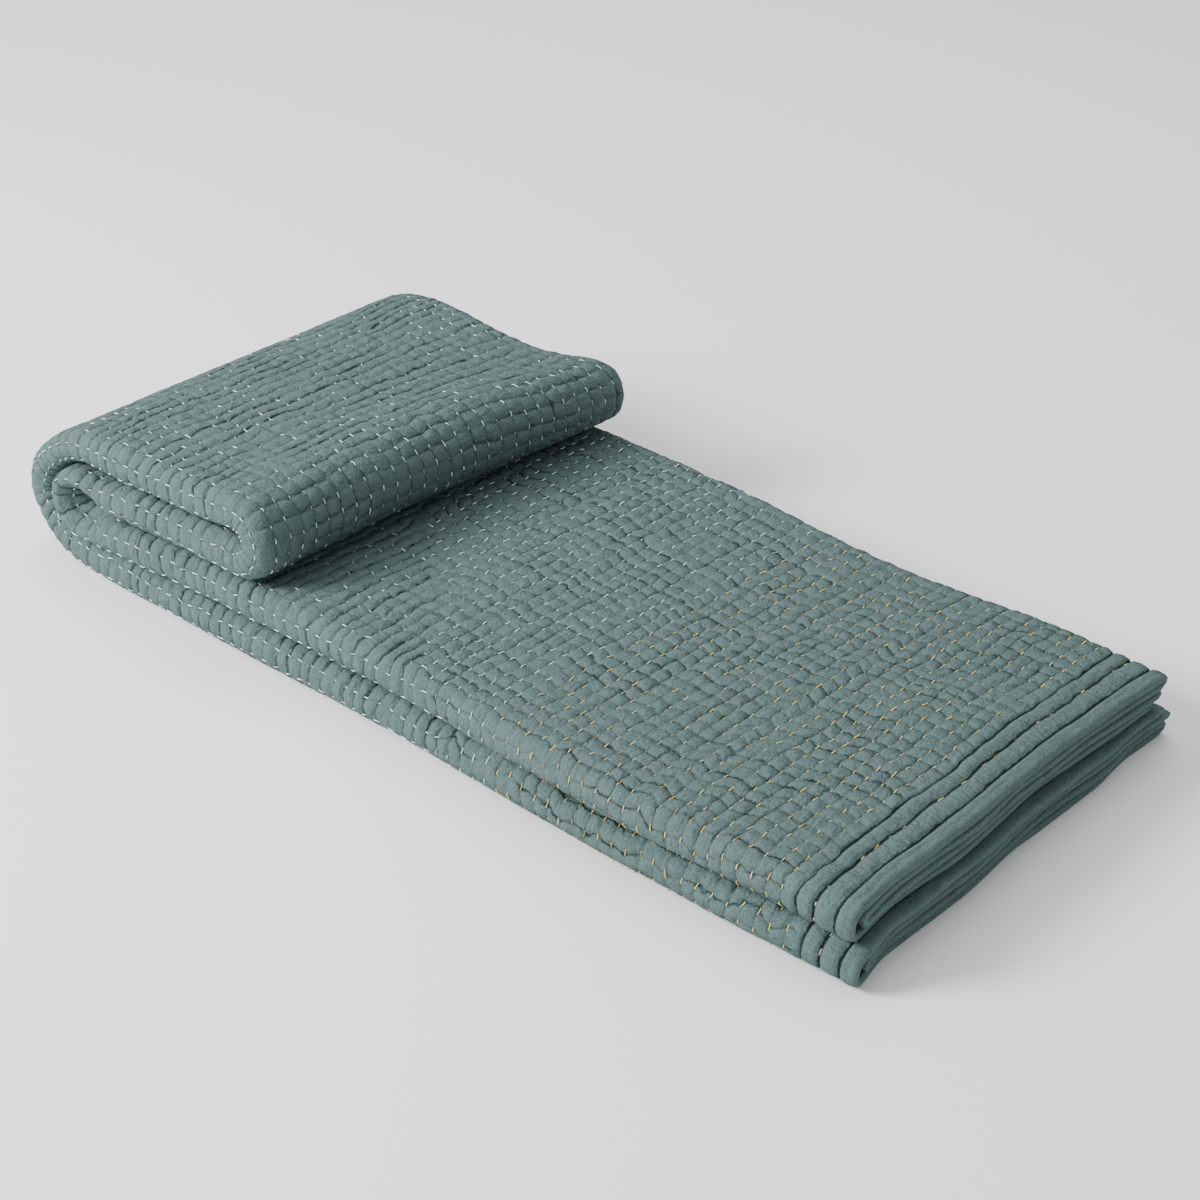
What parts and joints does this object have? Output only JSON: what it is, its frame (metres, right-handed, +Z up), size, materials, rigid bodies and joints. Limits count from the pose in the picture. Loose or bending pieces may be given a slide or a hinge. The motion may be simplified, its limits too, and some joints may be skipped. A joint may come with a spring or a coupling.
{
  "type": "kantha quilt",
  "caption": "Running-stitched cotton quilt, folded four layers deep and laid up in lobes with a flap turned over its left half; lies on a shelf, bed or bench.",
  "frame": {"origin": "middle of the folded quilt's outline in plan, on the surface it lies on", "axes": "+X along the folded band towards the open hem end, +Y across the band away from the near folds, +Z up"},
  "size_m": [0.8517, 0.4017, 0.1398],
  "materials": {
    "quilted_cotton": "matt washed cotton, grey green, puffed between rows of running stitch",
    "white_thread": "white cotton sewing thread in short running stitches",
    "gold_thread": "gold sewing thread in short running stitches, slightly shiny"
  },
  "bodies": {
    "root": {"quilt": "quilted_cotton"}
  },
  "joints": []
}
